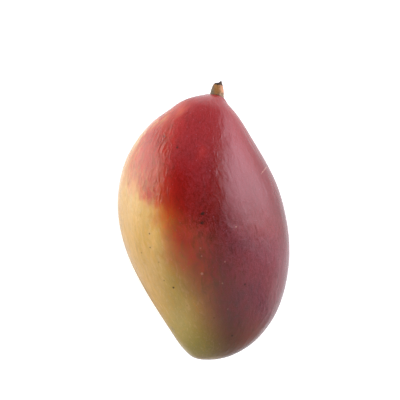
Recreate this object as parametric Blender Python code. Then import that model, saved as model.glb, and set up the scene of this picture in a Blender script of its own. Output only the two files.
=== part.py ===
"""A whole ripe mango lying on one cheek, with the dried stub of its stem.

Metres, +Z up.  The fruit lies along Y with its stem end at +Y.  +Z is the
upper cheek, and the lower cheek has the small flat spot that the fruit
rests on, at Z = 0.  The origin is the middle of the bounding box's base.
"""

import math

import bmesh
import bpy
import numpy as np
from mathutils import Matrix, Vector

MM = 0.001

# ---------------------------------------------------------------- dimensions
# The fruit is a stack of rounded sections across its length.  Each row gives
# the section's place along the fruit, the left and the right edge of the
# fruit there, seen from above, and its thickness from cheek to cheek, in mm.
STEM_POLE = (64.0, 4.0)      # place along the fruit, place across it
TIP_POLE = (-71.1, 2.0)
SECTIONS = (
    # along   left   right  thick
    (62.2, -6.6, 10.3, 19.0),
    (60.0, -11.9, 11.6, 27.8),
    (56.5, -17.0, 14.6, 37.1),
    (51.0, -24.7, 18.8, 47.2),
    (43.0, -32.2, 23.7, 57.4),
    (32.0, -39.0, 30.3, 66.7),
    (20.0, -42.6, 36.5, 72.9),
    (6.0, -43.6, 41.0, 76.4),
    (-8.0, -41.6, 43.3, 76.8),
    (-22.0, -36.8, 43.4, 73.5),
    (-35.0, -30.1, 41.3, 66.9),
    (-47.0, -22.9, 37.1, 57.1),
    (-57.0, -16.4, 30.5, 44.9),
    (-63.5, -11.9, 23.8, 33.5),
    (-67.5, -8.3, 17.3, 23.3),
    (-70.0, -4.8, 10.8, 13.0),
)
CHEEK_FULLNESS = 0.010       # squares the sections' shoulders a little
MID_HEIGHT = 37.7            # height of the fruit's middle plane, mm
END_DROOP = 3.0              # the tip hangs this much lower than the stem end
BELLY_LIFT = 0.7             # and both ends hang this much below the belly

SKIN_SEGMENTS = 52           # round the fruit
SKIN_RINGS = 36              # from stem end to tip

# The stub: its foot sits in a shallow round seat on the shoulder of the stem
# end.  Its rings go from the tip of the dried flake down to the foot.
FOOT_CENTRE = (6.75, 62.93)  # across, along
FOOT_HEIGHT = 38.9           # Z of the foot's middle
FOOT_TILT = 15.3             # degrees, the foot leans with the shoulder
FOOT_RADIUS = 3.68
GAP = 0.3                    # all round between stub and seat
SEAT_DEPTH_ABOVE = 6.0       # the seat's cutter reaches this far outwards
STUB_DEPTH_RATIO = 0.94      # the stub is a little flatter from cheek to cheek
STUB_RINGS = (
    # along  across  radius
    (70.45, 8.45, 0.45),
    (70.05, 7.85, 1.30),
    (69.50, 7.55, 1.85),
    (68.40, 7.30, 2.50),
    (66.90, 7.20, 3.05),
    (65.40, 7.05, 3.40),
    (64.10, 6.90, 3.58),
)
FLAKE_TIP = (71.1, 8.85)
STUB_SEGMENTS = 24

FLAT_MARGIN = 60.0           # half side of the block that cuts the flat spot


# ------------------------------------------------------------- shape functions
def closed_spline(knots, values, at):
    """Smooth closed curve through values at angles knots, read at angles at."""
    t = np.asarray(knots, float)
    v = np.asarray(values, float)
    n = len(t)
    h = np.diff(np.append(t, t[0] + 2 * math.pi))
    a = np.zeros((n, n))
    b = np.zeros(n)
    for i in range(n):
        before, after = h[i - 1], h[i]
        a[i, i - 1] += before
        a[i, i] += 2 * (before + after)
        a[i, (i + 1) % n] += after
        b[i] = 6 * ((v[(i + 1) % n] - v[i]) / after - (v[i] - v[i - 1]) / before)
    m = np.linalg.solve(a, b)
    at = np.mod(np.asarray(at, float) - t[0], 2 * math.pi) + t[0]
    k = np.clip(np.searchsorted(t, at, side="right") - 1, 0, n - 1)
    step, lo = h[k], t[k]
    p, q = (lo + step - at) / step, (at - lo) / step
    nxt = (k + 1) % n
    return (
        p * v[k]
        + q * v[nxt]
        + ((p**3 - p) * m[k] + (q**3 - q) * m[nxt]) * step**2 / 6
    )


HALF_LENGTH = (STEM_POLE[0] - TIP_POLE[0]) / 2
MIDDLE = (STEM_POLE[0] + TIP_POLE[0]) / 2
ANGLES = [math.acos((row[0] - MIDDLE) / HALF_LENGTH) for row in SECTIONS]
KNOTS = [0.0] + ANGLES + [math.pi] + [2 * math.pi - a for a in reversed(ANGLES)]
EDGE = (
    [STEM_POLE[1]]
    + [row[2] for row in SECTIONS]
    + [TIP_POLE[1]]
    + [row[1] for row in reversed(SECTIONS)]
)
CROWN = (
    [0.0]
    + [row[3] / 2 for row in SECTIONS]
    + [0.0]
    + [-row[3] / 2 for row in reversed(SECTIONS)]
)


def skin_point(polar, around):
    """Point of the fruit's skin, in mm.

    polar runs from 0 at the stem end to pi at the tip.  around is 0 on the
    right edge, pi/2 on the crown of the upper cheek and pi on the left edge.
    """
    right = closed_spline(KNOTS, EDGE, polar)
    left = closed_spline(KNOTS, EDGE, 2 * math.pi - polar)
    thick = closed_spline(KNOTS, CROWN, polar)
    k = CHEEK_FULLNESS
    across = (np.cos(around) - k * np.cos(3 * around)) / (1 - k)
    up = (np.sin(around) + k * np.sin(3 * around)) / (1 - k)
    x = (right + left) / 2 + (right - left) / 2 * across
    y = MIDDLE + HALF_LENGTH * np.cos(polar)
    sag = END_DROOP / 2 * np.cos(polar) - BELLY_LIFT * np.cos(polar) ** 2
    z = MID_HEIGHT + sag + thick * up
    return x, y, z


# --------------------------------------------------------------------- helpers
def link_to(collection, name, mesh):
    obj = bpy.data.objects.new(name, mesh)
    collection.objects.link(obj)
    return obj


def mesh_from(bm, name, smooth=True):
    mesh = bpy.data.meshes.new(name)
    bm.to_mesh(mesh)
    bm.free()
    for face in mesh.polygons:
        face.use_smooth = smooth
    return mesh


def cut(obj, cutter, name):
    cutter.hide_render = True
    cutter.display_type = "WIRE"
    mod = obj.modifiers.new(name, "BOOLEAN")
    mod.operation = "DIFFERENCE"
    mod.solver = "EXACT"
    mod.object = cutter


def principled(name, colour, roughness, metallic=0.0):
    mat = bpy.data.materials.new(name)
    mat.use_nodes = True
    shader = mat.node_tree.nodes["Principled BSDF"]
    shader.inputs["Base Color"].default_value = (*colour, 1.0)
    shader.inputs["Roughness"].default_value = roughness
    shader.inputs["Metallic"].default_value = metallic
    return mat


# ------------------------------------------------------------------ clear scene
for old in list(bpy.data.objects):
    bpy.data.objects.remove(old, do_unlink=True)

parts = bpy.data.collections.new("mango")
cutters = bpy.data.collections.new("cutters")
bpy.context.scene.collection.children.link(parts)
bpy.context.scene.collection.children.link(cutters)

# ------------------------------------------------------------------------ fruit
# A sphere whose poles are the stem end and the tip, swollen to the sections.
bm = bmesh.new()
bmesh.ops.create_uvsphere(
    bm, u_segments=SKIN_SEGMENTS, v_segments=SKIN_RINGS, radius=1.0
)
for vert in bm.verts:
    x, y, z = vert.co
    polar = math.acos(max(-1.0, min(1.0, z)))
    around = math.atan2(-y, x)
    px, py, pz = skin_point(polar, around)
    vert.co = Vector((float(px), float(py), float(pz))) * MM
fruit = link_to(parts, "fruit", mesh_from(bm, "fruit"))
fruit.data.materials.append(principled("skin", (0.42, 0.10, 0.075), 0.38))

# The flat spot under the lower cheek: all below Z = 0 comes off.
bm = bmesh.new()
bmesh.ops.create_cube(bm, size=2 * FLAT_MARGIN * MM)
bmesh.ops.translate(bm, verts=bm.verts, vec=(0, 0, -FLAT_MARGIN * MM))
cut(fruit, link_to(cutters, "flat_spot_block", mesh_from(bm, "flat_spot_block", False)), "flat_spot")

# The seat of the stub: a round socket square to the foot of the stub.
tilt = Matrix.Rotation(math.radians(-FOOT_TILT), 4, "Z")
foot = Vector((FOOT_CENTRE[0], FOOT_CENTRE[1], FOOT_HEIGHT)) * MM
outward = tilt @ Vector((0, 1, 0))
bm = bmesh.new()
bmesh.ops.create_cone(
    bm,
    cap_ends=True,
    segments=STUB_SEGMENTS,
    radius1=(FOOT_RADIUS + GAP) * MM,
    radius2=(FOOT_RADIUS + GAP) * MM,
    depth=(SEAT_DEPTH_ABOVE + GAP) * MM,
)
middle = foot + outward * ((SEAT_DEPTH_ABOVE - GAP) / 2 * MM)
bmesh.ops.transform(
    bm,
    verts=bm.verts,
    matrix=Matrix.Translation(middle) @ tilt @ Matrix.Rotation(math.radians(-90), 4, "X"),
)
cut(fruit, link_to(cutters, "seat_plug", mesh_from(bm, "seat_plug", False)), "stem_seat")

# -------------------------------------------------------------------- stem stub
# A small sphere drawn out ring by ring: the flake's tip, the tapering body,
# then the rim and the inner ring of the flat, leaning foot.
bm = bmesh.new()
bmesh.ops.create_uvsphere(
    bm, u_segments=STUB_SEGMENTS, v_segments=len(STUB_RINGS) + 3, radius=1.0
)
lean = math.tan(math.radians(FOOT_TILT))
for vert in bm.verts:
    x, y, z = vert.co
    polar = math.acos(max(-1.0, min(1.0, z)))
    around = math.atan2(-y, x)
    ring = round(polar / math.pi * (len(STUB_RINGS) + 3))
    if ring == 0:
        vert.co = Vector((FLAKE_TIP[1], FLAKE_TIP[0], FOOT_HEIGHT)) * MM
        continue
    if ring <= len(STUB_RINGS):
        along, across, radius = STUB_RINGS[ring - 1]
        share = (STUB_RINGS[0][0] - along) / (STUB_RINGS[0][0] - FOOT_CENTRE[1])
    else:
        across, along = FOOT_CENTRE
        radius = (FOOT_RADIUS, FOOT_RADIUS / 2, 0.0)[ring - len(STUB_RINGS) - 1]
        share = 1.0
    dx = radius * math.cos(around) * (math.cos(math.radians(FOOT_TILT)) if share == 1.0 else 1.0)
    dz = radius * math.sin(around) * STUB_DEPTH_RATIO
    vert.co = Vector((across + dx, along - lean * share * dx, FOOT_HEIGHT + dz)) * MM
stub = link_to(parts, "stem_stub", mesh_from(bm, "stem_stub"))
stub.data.set_sharp_from_angle(angle=math.radians(50))
stub.data.materials.append(principled("dry_stem", (0.32, 0.19, 0.08), 0.75))
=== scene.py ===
"""A ripe mango lying on its cheek, seen from above.

The skin and the stub of the stem are modelled finely here, on the sections
that the construction model has.  Lengths in the shape code are millimetres,
and meshes are made in metres.
"""

import math

import bpy
import numpy as np
from mathutils import Matrix, Vector


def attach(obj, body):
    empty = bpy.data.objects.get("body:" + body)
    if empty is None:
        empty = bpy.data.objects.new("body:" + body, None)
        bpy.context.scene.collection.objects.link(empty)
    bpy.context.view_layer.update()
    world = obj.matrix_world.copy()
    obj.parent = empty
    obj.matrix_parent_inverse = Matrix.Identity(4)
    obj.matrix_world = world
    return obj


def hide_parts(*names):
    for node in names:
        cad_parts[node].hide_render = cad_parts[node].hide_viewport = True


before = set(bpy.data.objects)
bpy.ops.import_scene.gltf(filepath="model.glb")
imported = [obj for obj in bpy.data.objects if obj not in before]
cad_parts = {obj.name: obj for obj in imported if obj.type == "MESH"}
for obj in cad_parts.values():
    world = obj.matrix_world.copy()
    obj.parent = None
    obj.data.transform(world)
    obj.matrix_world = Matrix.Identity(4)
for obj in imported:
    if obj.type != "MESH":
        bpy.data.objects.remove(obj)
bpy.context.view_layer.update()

MM = 0.001

# =============================================================== shape of fruit
STEM_POLE = (64.0, 4.0)
TIP_POLE = (-71.1, 2.0)
SECTIONS = (
    # along   left   right  thick
    (62.2, -6.6, 10.3, 19.0),
    (60.0, -11.9, 11.6, 27.8),
    (56.5, -17.0, 14.6, 37.1),
    (51.0, -24.7, 18.8, 47.2),
    (43.0, -32.2, 23.7, 57.4),
    (32.0, -39.0, 30.3, 66.7),
    (20.0, -42.6, 36.5, 72.9),
    (6.0, -43.6, 41.0, 76.4),
    (-8.0, -41.6, 43.3, 76.8),
    (-22.0, -36.8, 43.4, 73.5),
    (-35.0, -30.1, 41.3, 66.9),
    (-47.0, -22.9, 37.1, 57.1),
    (-57.0, -16.4, 30.5, 44.9),
    (-63.5, -11.9, 23.8, 33.5),
    (-67.5, -8.3, 17.3, 23.3),
    (-70.0, -4.8, 10.8, 13.0),
)
CHEEK_FULLNESS = 0.010
MID_HEIGHT = 37.7
END_DROOP = 3.0
BELLY_LIFT = 0.7

FOOT = np.array((6.75, 62.93, 38.9))     # middle of the stub's foot
FOOT_TILT = math.radians(15.3)
FOOT_RADIUS = 3.68


def closed_spline(knots, values, at):
    """Smooth closed curve through values at angles knots, read at angles at."""
    t = np.asarray(knots, float)
    v = np.asarray(values, float)
    n = len(t)
    h = np.diff(np.append(t, t[0] + 2 * math.pi))
    a = np.zeros((n, n))
    b = np.zeros(n)
    for i in range(n):
        before, after = h[i - 1], h[i]
        a[i, i - 1] += before
        a[i, i] += 2 * (before + after)
        a[i, (i + 1) % n] += after
        b[i] = 6 * ((v[(i + 1) % n] - v[i]) / after - (v[i] - v[i - 1]) / before)
    m = np.linalg.solve(a, b)
    at = np.mod(np.asarray(at, float) - t[0], 2 * math.pi) + t[0]
    k = np.clip(np.searchsorted(t, at, side="right") - 1, 0, n - 1)
    step, lo = h[k], t[k]
    p, q = (lo + step - at) / step, (at - lo) / step
    nxt = (k + 1) % n
    return (
        p * v[k]
        + q * v[nxt]
        + ((p**3 - p) * m[k] + (q**3 - q) * m[nxt]) * step**2 / 6
    )


HALF_LENGTH = (STEM_POLE[0] - TIP_POLE[0]) / 2
MIDDLE = (STEM_POLE[0] + TIP_POLE[0]) / 2
ANGLES = [math.acos((row[0] - MIDDLE) / HALF_LENGTH) for row in SECTIONS]
KNOTS = [0.0] + ANGLES + [math.pi] + [2 * math.pi - a for a in reversed(ANGLES)]
EDGE = (
    [STEM_POLE[1]]
    + [row[2] for row in SECTIONS]
    + [TIP_POLE[1]]
    + [row[1] for row in reversed(SECTIONS)]
)
CROWN = (
    [0.0]
    + [row[3] / 2 for row in SECTIONS]
    + [0.0]
    + [-row[3] / 2 for row in reversed(SECTIONS)]
)


def skin_point(polar, around):
    """Smooth skin, in mm, before its fine relief.  around is 0 on the right edge."""
    right = closed_spline(KNOTS, EDGE, polar)
    left = closed_spline(KNOTS, EDGE, 2 * math.pi - polar)
    thick = closed_spline(KNOTS, CROWN, polar)
    k = CHEEK_FULLNESS
    across = (np.cos(around) - k * np.cos(3 * around)) / (1 - k)
    up = (np.sin(around) + k * np.sin(3 * around)) / (1 - k)
    x = (right + left) / 2 + (right - left) / 2 * across
    y = MIDDLE + HALF_LENGTH * np.cos(polar)
    sag = END_DROOP / 2 * np.cos(polar) - BELLY_LIFT * np.cos(polar) ** 2
    z = MID_HEIGHT + sag + thick * up
    return np.stack(np.broadcast_arrays(x, y, z), -1)


# ------------------------------------------------------------------ seeded noise
class Grain:
    """Smooth seeded noise in space, from -1 to 1, the same on every run."""

    def __init__(self, seed):
        rng = np.random.default_rng(seed)
        self.perm = np.tile(rng.permutation(256), 3)
        g = rng.normal(size=(256, 3))
        self.grad = g / np.linalg.norm(g, axis=1)[:, None]

    def __call__(self, p):
        p = np.asarray(p, float)
        cell = np.floor(p).astype(np.int64)
        f = p - cell
        cell &= 255
        s = f * f * f * (f * (f * 6 - 15) + 10)
        total = 0.0
        for dx in (0, 1):
            for dy in (0, 1):
                for dz in (0, 1):
                    h = self.perm[
                        self.perm[self.perm[cell[..., 0] + dx] + cell[..., 1] + dy]
                        + cell[..., 2]
                        + dz
                    ]
                    d = f - np.array((dx, dy, dz), float)
                    w = (
                        (s[..., 0] if dx else 1 - s[..., 0])
                        * (s[..., 1] if dy else 1 - s[..., 1])
                        * (s[..., 2] if dz else 1 - s[..., 2])
                    )
                    total = total + w * (self.grad[h] * d).sum(-1)
        return total * 1.5


def smooth_step(lo, hi, v):
    t = np.clip((v - lo) / (hi - lo), 0, 1)
    return t * t * (3 - 2 * t)


# -------------------------------------------------------------------- skin mesh
RINGS, AROUND = 228, 420


def skin_relief(p, n):
    """How far the skin stands out along its normals, in mm."""
    lumps = Grain(11)(p / 26.0) * 0.16 + Grain(12)(p / 12.0) * 0.05
    # Shallow pebbling, drawn out along the fruit.
    long = p / np.array((1.0, 2.1, 1.0))
    pebble = Grain(13)(long / 3.3) * 0.020 + Grain(14)(long / 1.9) * 0.009
    relief = lumps + pebble
    # The skin dips round the foot of the stub and swells just outside it.
    axis = np.array((math.sin(FOOT_TILT), math.cos(FOOT_TILT), 0.0))
    d = p - FOOT
    h = d @ axis
    flat = d - h[..., None] * axis
    r = np.sqrt((flat[..., 0] ** 2 + flat[..., 1] ** 2) + (flat[..., 2] / 0.94) ** 2)
    turn = np.arctan2(flat[..., 2], flat[..., 0])
    near = (h > -8.0).astype(float)
    wrinkle = 1 + 0.35 * Grain(15)(
        np.stack([np.cos(turn) * 2.2, np.sin(turn) * 2.2, r / 3.0], -1)
    )
    relief = relief - near * 0.85 * (1 - smooth_step(3.3, 4.5, r))
    relief = relief + near * 0.16 * wrinkle * np.exp(-(((r - 5.3) / 1.0) ** 2))
    return relief


def make_skin():
    polar = np.linspace(0, math.pi, RINGS + 1)[1:-1]
    turn = np.linspace(0, 2 * math.pi, AROUND, endpoint=False)
    u, a = np.meshgrid(polar, turn, indexing="ij")
    grid = skin_point(u, a)
    e = 1e-4
    du = skin_point(u + e, a) - skin_point(u - e, a)
    da = skin_point(u, a + e) - skin_point(u, a - e)
    n = np.cross(da, du)
    n /= np.linalg.norm(n, axis=-1)[..., None]
    outward = np.sign((n * (grid - np.array((0.7, MIDDLE, MID_HEIGHT)))).sum())
    n *= outward
    poles = np.stack([skin_point(0.0, 0.0), skin_point(math.pi, 0.0)])
    pole_n = np.array(((0.0, 1.0, 0.0), (0.0, -1.0, 0.0)))
    p = np.concatenate([grid.reshape(-1, 3), poles])
    n = np.concatenate([n.reshape(-1, 3), pole_n])
    p = p + n * skin_relief(p, n)[:, None]
    # The flat spot: what would sink below the surface is pressed flat.
    soft = 0.10
    z = p[:, 2]
    p[:, 2] = np.where(z < 4.0, (z + np.sqrt(z * z + soft * soft)) / 2, z)
    rings = len(polar)
    ids = np.arange(rings * AROUND).reshape(rings, AROUND)
    nxt = np.roll(ids, -1, axis=1)
    quads = np.stack([ids[:-1], nxt[:-1], nxt[1:], ids[1:]], -1).reshape(-1, 4)
    top, tip = rings * AROUND, rings * AROUND + 1
    fan_top = [(top, int(nxt[0, i]), int(ids[0, i])) for i in range(AROUND)]
    fan_tip = [(tip, int(ids[-1, i]), int(nxt[-1, i])) for i in range(AROUND)]
    faces = [tuple(map(int, q[::-1])) for q in quads] + fan_top + fan_tip
    mesh = bpy.data.meshes.new("skin")
    mesh.from_pydata((p * MM).tolist(), [], faces)
    mesh.update()
    # Face winding: outward.
    sample = mesh.polygons[rings * AROUND // 2]
    centre = Vector((0.0007, MIDDLE * MM, MID_HEIGHT * MM))
    if sample.normal.dot(sample.center - centre) < 0:
        mesh.flip_normals()
    mesh.polygons.foreach_set("use_smooth", np.ones(len(mesh.polygons), bool))
    return mesh, p, u, a


def lay_out(mesh, rings):
    """Two cheeks side by side, each spread from its crown without pinching."""
    polar = np.linspace(0, math.pi, rings + 2)[1:-1]
    turn = np.arange(AROUND) * 2 * math.pi / AROUND
    count = rings * AROUND
    layer = mesh.uv_layers.new(name="OFBake")
    uv = np.zeros((len(mesh.loops), 2))
    verts = np.zeros(len(mesh.loops), np.int32)
    mesh.loops.foreach_get("vertex_index", verts)
    starts = np.zeros(len(mesh.polygons), np.int32)
    totals = np.zeros(len(mesh.polygons), np.int32)
    mesh.polygons.foreach_get("loop_start", starts)
    mesh.polygons.foreach_get("loop_total", totals)
    face = np.repeat(np.arange(len(starts)), totals)
    pu = np.zeros(len(verts))
    pa = np.zeros(len(verts))
    on_grid = verts < count
    pu[on_grid] = polar[verts[on_grid] // AROUND]
    pa[on_grid] = turn[verts[on_grid] % AROUND]
    pu[verts == count] = 0.0
    pu[verts == count + 1] = math.pi
    # A face lies on the upper cheek if its corners' mean sine is positive.
    s = np.bincount(face, np.where(on_grid, np.sin(pa), 0.0), len(starts))
    upper = (s > 0)[face]
    d = np.stack([np.cos(pa) * np.sin(pu), np.cos(pu), np.abs(np.sin(pa)) * np.sin(pu)], -1)
    # Near the seam a corner's sine may be 0 from either side; abs serves both.
    k = np.sqrt(2 / (1 + d[:, 2]))
    x, y = d[:, 0] * k / math.sqrt(2), d[:, 1] * k / math.sqrt(2)
    uv[:, 0] = np.where(upper, 0.25 + x * 0.245, 0.75 - x * 0.245)
    uv[:, 1] = 0.5 + y * 0.40
    layer.data.foreach_set("uv", uv.astype(np.float32).ravel())


# ------------------------------------------------------------- places on the skin
# The photograph's view: straight down, 0.511 mm to a pixel at the outline.
CAMERA_AT = (-1.79, 10.34)   # over the floor, mm
CAMERA_HEIGHT = 719.0
LENS, SENSOR = 120.4, 36.0
FOCAL_PIXELS = LENS / SENSOR * 400


def section_at(y):
    """Middle across, half width, middle height and half thickness at y."""
    polar = np.arccos(np.clip((np.asarray(y, float) - MIDDLE) / HALF_LENGTH, -1, 1))
    right = closed_spline(KNOTS, EDGE, polar)
    left = closed_spline(KNOTS, EDGE, 2 * math.pi - polar)
    thick = closed_spline(KNOTS, CROWN, polar)
    sag = END_DROOP / 2 * np.cos(polar) - BELLY_LIFT * np.cos(polar) ** 2
    return (right + left) / 2, (right - left) / 2, MID_HEIGHT + sag, thick


def on_skin(px, py):
    """Point of the upper cheek that the photograph shows at a pixel, in mm."""
    x = y = 0.0
    z = 60.0
    for _ in range(30):
        reach = (CAMERA_HEIGHT - z) / FOCAL_PIXELS
        x = CAMERA_AT[0] + (px - 200) * reach
        y = CAMERA_AT[1] - (py - 200) * reach
        mid, half, level, thick = section_at(y)
        share = min(max((x - mid) / max(half, 1e-6), -1.0), 1.0)
        z = float(level + thick * math.sqrt(max(0.0, 1 - share * share)))
    return x, y, z


def down_rows(rows, y):
    """Smooth curves through rows of (py, px, px, ...), read at plan y."""
    ys = np.array([on_skin(row[1], row[0])[1] for row in rows])
    order = np.argsort(ys)
    out = []
    for c in range(1, len(rows[0])):
        out.append(np.interp(y, ys[order], np.array([row[c] for row in rows], float)[order]))
    return out


# The blush down the upper cheek, in pixels across.  First comes a thin wash
# (from, to, how strong), then the full red (from, to, how strong), and a
# darker tone to the right of it (from, to, how strong).
BLUSH = (
    (90, 158, 176, 0.48, 166, 202, 1.16, 200, 240, 0.00),
    (104, 170, 188, 0.44, 174, 204, 1.26, 204, 240, 0.02),
    (120, 150, 166, 0.58, 158, 200, 1.38, 206, 232, 0.04),
    (140, 134, 152, 0.78, 162, 194, 1.40, 200, 226, 0.08),
    (160, 118, 152, 0.68, 156, 186, 1.40, 196, 218, 0.17),
    (180, 116, 159, 0.60, 156, 183, 1.36, 174, 218, 0.23),
    (196, 126, 166, 0.55, 157, 183, 1.18, 160, 214, 0.37),
    (208, 150, 170, 0.42, 161, 189, 1.06, 160, 210, 0.48),
    (220, 142, 182, 0.42, 166, 220, 1.00, 158, 210, 0.56),
    (240, 157, 186, 0.52, 196, 254, 1.08, 156, 218, 0.60),
    (260, 154, 196, 0.43, 200, 262, 0.90, 166, 228, 0.67),
    (280, 168, 210, 0.32, 200, 262, 0.70, 162, 228, 0.69),
    (300, 176, 206, 0.10, 190, 252, 0.60, 180, 228, 0.72),
    (320, 182, 208, 0.06, 194, 252, 0.50, 186, 232, 0.73),
    (345, 190, 212, 0.04, 204, 252, 0.36, 194, 234, 0.69),
)


# A few small places where the peel is redder (with the lean of the patch
# before it), lighter, or more veiled with bloom and painted sheen than round
# about: pixels across and down, half width and half height in mm, and how much.
PIGMENTS = (
    (181, 112, 1.5, 4.5, -0.8, -0.34),
    (165, 118, 1.4, 3.2, -0.7, -0.30),
    (186, 226, 7, 8, 0.0, 0.12),
    (202, 152, 2.2, 4.0, -0.3, -0.30),
    (148, 197, 3, 5, 0.0, 0.14),
    (160, 140, 2.5, 6, -0.2, 0.16),
)
SHADES = (
    (181, 112, 2.0, 5.0, 0.10),
    (202, 152, 2.2, 4.0, 0.08),
    (136, 166, 5, 9, -0.07),
    (257, 183, 6, 9, -0.10),
    (173, 204, 5, 10, -0.09),
    (180, 226, 5, 7, -0.03),
    (199, 229, 7, 9, 0.13),
    (208, 262, 6, 8, -0.08),
    (245, 263, 7, 8, 0.08),
    # A pale streak down the yellow side: a painted reflection, painted lighter.
    (154, 241, 1.5, 12, 0.07),
    (202, 312, 9, 14, -0.08),
    (258, 250, 7, 16, -0.07),
)
BLOOM_AND_SHEEN_SPOTS = (
    # The same pale streak: a painted reflection, added as bloom.
    (154, 241, 1.3, 12, 0.012),
    (178, 320, 8, 9, 0.019),
    (152, 276, 5, 11, 0.014),
    (138, 246, 6, 12, -0.012),
    (136, 200, 3, 6, 0.012),
    (149, 203, 5, 8, -0.026),
    (172, 200, 4, 10, -0.008),
    (197, 330, 5, 12, -0.008),
    (160, 140, 3, 6, -0.010),
    (172, 256, 4, 20, -0.007),
)


def skin_fields(p, polar, around):
    """Slow changes of colour over the skin, one value of each to a vertex."""
    x, y, z = p[:, 0], p[:, 1], p[:, 2]
    upper = np.sin(around) >= 0

    def px_at(column):
        """A column of pixels, as plan x at each vertex's own y."""
        rise = section_at(y)
        share = np.zeros_like(y)
        xx = np.zeros_like(y)
        for _ in range(12):
            zz = rise[2] + rise[3] * np.sqrt(np.clip(1 - share**2, 0, 1))
            xx = CAMERA_AT[0] + (column - 200) * (CAMERA_HEIGHT - zz) / FOCAL_PIXELS
            share = np.clip((xx - rise[0]) / np.maximum(rise[1], 1.0), -1, 1)
        return xx

    def span(lo, hi, v):
        return smooth_step(lo, hi, v)

    def span01(v):
        return smooth_step(0.0, 1.0, v)

    def blob(px, py, rx, ry, turn=0.0):
        cx, cy, _ = on_skin(px, py)
        c, t = math.cos(turn), math.sin(turn)
        dx, dy = x - cx, y - cy
        return np.exp(-(((dx * c + dy * t) / rx) ** 2) - ((dy * c - dx * t) / ry) ** 2)

    def slow(seed, size):
        """Slow seeded unevenness over the skin, from -1 to 1."""
        return Grain(seed)(p / np.array((size, size * 1.6, size)))

    # Its edges wander along the fruit, more so down the sides.
    down = span(68, 46, z)
    wander = (3.8 + 2.4 * down) * slow(61, 5.0) + (1.8 + 1.4 * down) * slow(62, 2.4)
    wander = wander * span(px_v(176), px_v(160), x)
    rows = down_rows(BLUSH, y + wander)
    wash, strength, darkness = rows[2], rows[5], rows[8]
    wash_from, wash_to, core_from, core_to, dark_from, dark_to = (
        px_at(rows[c]) for c in (0, 1, 3, 4, 6, 7)
    )

    def blush(across):
        thin = wash * span01((across - wash_from) / (wash_to - wash_from))
        deep = span01((across - core_from) / (core_to - core_from))
        return thin * (1 - deep) + strength * deep

    # The upper cheek's pattern, carried on unchanged round both edges.
    over = blush(x)
    from_stem = np.sqrt((x - 6.0) ** 2 + (y - 62.0) ** 2 + (z - 39.0) ** 2)
    over = over + 0.30 * blob(264, 307, 4, 9, 0.3)
    for px, py, wide, tall, lean, more in PIGMENTS:
        over = over + more * blob(px, py, wide, tall, lean)
    # Green left in the ground colour: the tip, and a patch above it.
    green = (
        1.05 * blob(204, 352, 16, 18)
        + 0.50 * blob(184, 285, 11, 19, 0.2)
        + 0.40 * blob(174, 323, 7, 12)
    )
    # How dark the blush is, and the pale bloom over it, which is partly a painted sheen: reflection
    # painted into the colour.
    shade = 1 - darkness * span01((x - dark_from) / (dark_to - dark_from))
    shade += 0.13 * span(px_v(222), px_v(240), x) * span(py_v(246), py_v(226), y)
    shade += 0.17 * blob(178, 323, 8, 9) - 0.12 * blob(172, 274, 5, 28, 0.1)
    shade -= 0.10 * blob(192, 350, 10, 5)
    shade += (
        0.18
        * span(px_v(232), px_v(262), x)
        * span(py_v(200), py_v(240), y)
        * (1 - 0.6 * span(py_v(262), py_v(290), y))
    )
    # Lighter and darker places.
    for px, py, wide, tall, more in SHADES:
        shade += more * blob(px, py, wide, tall)
    # The yellow ground is duller towards the tip.
    shade *= 1 - 0.05 * span(py_v(232), py_v(262), y) * span(px_v(212), px_v(190), x)
    bloom_and_sheen = (
        0.012
        + 0.012 * span(py_v(196), py_v(222), y) * span(px_v(166), px_v(140), x)
        + 0.009
        * span(px_v(176), px_v(160), x)
        * span(py_v(234), py_v(250), y)
        + 0.014 * span(py_v(150), py_v(180), y) * span(px_v(140), px_v(127), x)
        - 0.006 * span(px_v(172), px_v(160), x) * span(py_v(206), py_v(190), y)
        + 0.008
        * span(px_v(214), px_v(230), x)
        * span(px_v(254), px_v(240), x)
        * span(py_v(262), py_v(236), y)
        + 0.026
        * span(px_v(182), px_v(262), x)
        * span(py_v(226), py_v(264), y)
        * (1 - 0.35 * span(py_v(290), py_v(330), y))
        - 0.017 * blob(174, 198, 8, 15, 0.1)
        - 0.006 * blob(206, 205, 8, 10)
    )
    bloom_and_sheen = bloom_and_sheen * (1 - 0.7 * span(py_v(316), py_v(344), y))
    bloom_and_sheen = bloom_and_sheen - 0.017 * blob(221, 170, 3.5, 17)
    for px, py, wide, tall, more in BLOOM_AND_SHEEN_SPOTS:
        bloom_and_sheen = bloom_and_sheen + more * blob(px, py, wide, tall)
    # The right edge is painted a little darker, as shade, and greyer with a painted sheen.
    mid_x, half_x, _, _ = section_at(y)
    edge_shade_and_sheen = span(0.70, 1.0, (x - mid_x) / np.maximum(half_x, 1.0))
    edge_shade_and_sheen = edge_shade_and_sheen * span(py_v(110), py_v(150), y) * (1 - 0.6 * span(py_v(225), py_v(255), y))
    shade = shade - 0.25 * edge_shade_and_sheen + 0.06 * span(px_v(258), px_v(274), x) * span(py_v(270), py_v(290), y)
    share = (mid_x - x) / np.maximum(half_x, 1.0)
    # A band a little in from the left edge is painted darker, as shade.
    rim = span(0.76, 0.86, share) * (1 - span(0.88, 0.94, share))
    shade = shade - 0.06 * rim * span(py_v(158), py_v(176), y) * (1 - span(py_v(226), py_v(246), y))
    bloom_and_sheen = bloom_and_sheen + 0.008 * edge_shade_and_sheen
    # The left edge, where the blush hardly reaches it, is likewise painted a little darker, as shade,
    # and paler with a painted sheen.
    left_edge = span(0.87, 0.98, (mid_x - x) / np.maximum(half_x, 1.0))
    left_edge = left_edge * span(py_v(112), py_v(128), y)
    over = over * (1 - 0.60 * left_edge * span(py_v(186), py_v(166), y))
    left_edge = left_edge * (1 - span(py_v(204), py_v(232), y))
    bloom_and_sheen = bloom_and_sheen + 0.034 * left_edge
    shade = shade - 0.06 * left_edge
    # Where red thins out over the yellow, the ground is a deep amber.
    amber = 0.9 * blob(169, 211, 6.0, 9, -0.3)

    tip_z = float(skin_point(math.pi, 0.0)[2])

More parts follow.
